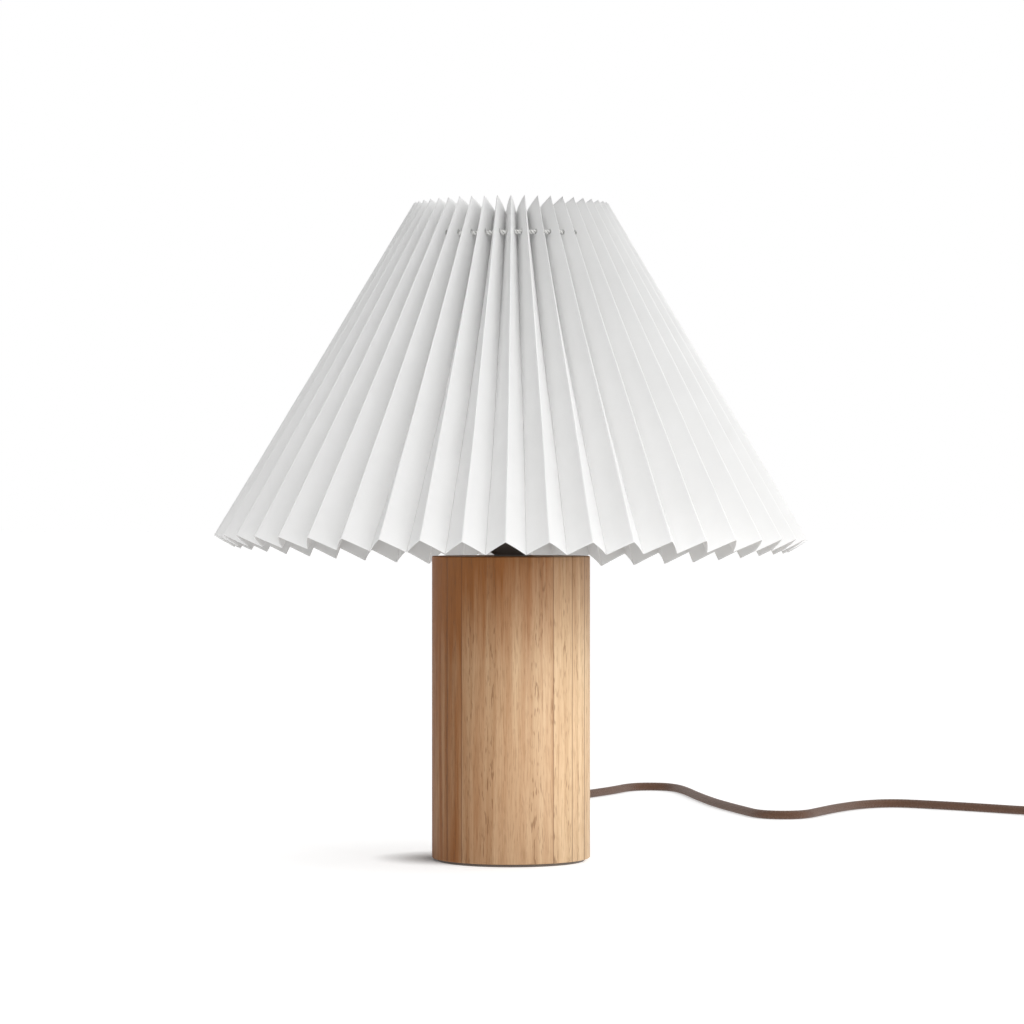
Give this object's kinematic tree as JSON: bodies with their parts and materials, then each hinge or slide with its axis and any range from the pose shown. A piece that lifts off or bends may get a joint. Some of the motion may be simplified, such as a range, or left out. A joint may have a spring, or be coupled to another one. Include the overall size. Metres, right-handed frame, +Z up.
{
  "type": "pleated paper table lamp",
  "caption": "Table lamp: turned oak column, domed lampholder with bulb, pleated white paper shade on a wire carrier, textile cord with switch and plug.",
  "frame": {"origin": "on the lamp's axis, at the surface that it stands on", "axes": "+Z up along the lamp's axis; the front faces -Y and the cord leaves the column towards +Y"},
  "size_m": [0.5393, 0.6026, 0.3325],
  "materials": {
    "oak": "oiled oak, vertical grain",
    "felt": "pressed felt",
    "zinc_steel": "zinc plated",
    "black_relief": "moulded, matt",
    "cord_textile": "braided brown textile",
    "clamp_plastic": "moulded",
    "wire_jacket": "extruded insulation",
    "holder_black": "satin thermoset",
    "holder_insert": "unglazed porcelain",
    "brass": "stamped",
    "shell_metal": "rolled",
    "carrier_wire": "white powder coat",
    "paper_white": "pleated white lampshade paper",
    "string_white": "twisted cotton",
    "opal_glass": "opal",
    "cap_metal": "rolled",
    "black_glass": "dark vitrite",
    "stem_glass": "clear",
    "filament": "phosphor coated",
    "switch_brown": "moulded, satin",
    "plug_brown": "moulded, satin",
    "pin_metal": "nickel plated",
    "tie_black": "woven strap"
  },
  "bodies": {
    "stand": {"wood_column": "oak", "felt_pad": "felt", "threaded_tube": "zinc_steel", "chamber_washer": "zinc_steel", "chamber_nut": "zinc_steel", "strain_relief": "black_relief", "inner_cord": "cord_textile", "cord_clamp": "clamp_plastic", "clamp_screws": "zinc_steel", "inner_wires": "wire_jacket", "holder_dome": "holder_black", "holder_sleeve": "holder_black", "holder_insert": "holder_insert", "terminals": "brass", "terminal_screws": "zinc_steel", "screw_shell": "shell_metal", "centre_contact": "brass", "cord_lead": "cord_textile", "cord_link": "cord_textile", "cord_coil": "cord_textile", "cord_tail": "cord_textile", "coil_tie": "tie_black", "switch_lower": "switch_brown", "switch_upper": "switch_brown", "rocker_pin": "zinc_steel", "switch_contacts": "brass", "switch_screws": "zinc_steel", "plug_body": "plug_brown", "plug_pins": "pin_metal", "pin_sleeves": "clamp_plastic"},
    "shade": {"shade_paper": "paper_white", "gather_string": "string_white"},
    "carrier": {"carrier_fitter": "carrier_wire", "carrier_arms": "carrier_wire", "carrier_hoop": "carrier_wire"},
    "clamp_ring": {"clamp_ring": "holder_black"},
    "bulb": {"bulb_glass": "opal_glass", "bulb_cap": "cap_metal", "bulb_insulator": "black_glass", "bulb_tip": "cap_metal", "bulb_stem": "stem_glass", "bulb_filaments": "filament"},
    "rocker": {"switch_rocker": "switch_brown"}
  },
  "joints": [
    {"name": "carrier_swivel", "type": "hinge", "parent": "stand", "child": "carrier", "pos_m": [0, 0, 0.188], "axis": [0, 0, 1], "continuous": true},
    {"name": "shade_lift", "type": "slide", "parent": "carrier", "child": "shade", "axis": [0, 0, 1], "range_m": [0, 0.2]},
    {"name": "clamp_ring_turn", "type": "hinge", "parent": "stand", "child": "clamp_ring", "pos_m": [0, 0, 0.188], "axis": [0, 0, 1], "continuous": true},
    {"name": "bulb_lift", "type": "slide", "parent": "stand", "child": "bulb", "axis": [0, 0, 1], "range_m": [0, 0.2]},
    {"name": "rocker_tip", "type": "hinge", "parent": "stand", "child": "rocker", "pos_m": [0.322, 0.188, 0.013], "axis": [-1, 0, 0], "range_deg": [0, 16]}
  ]
}
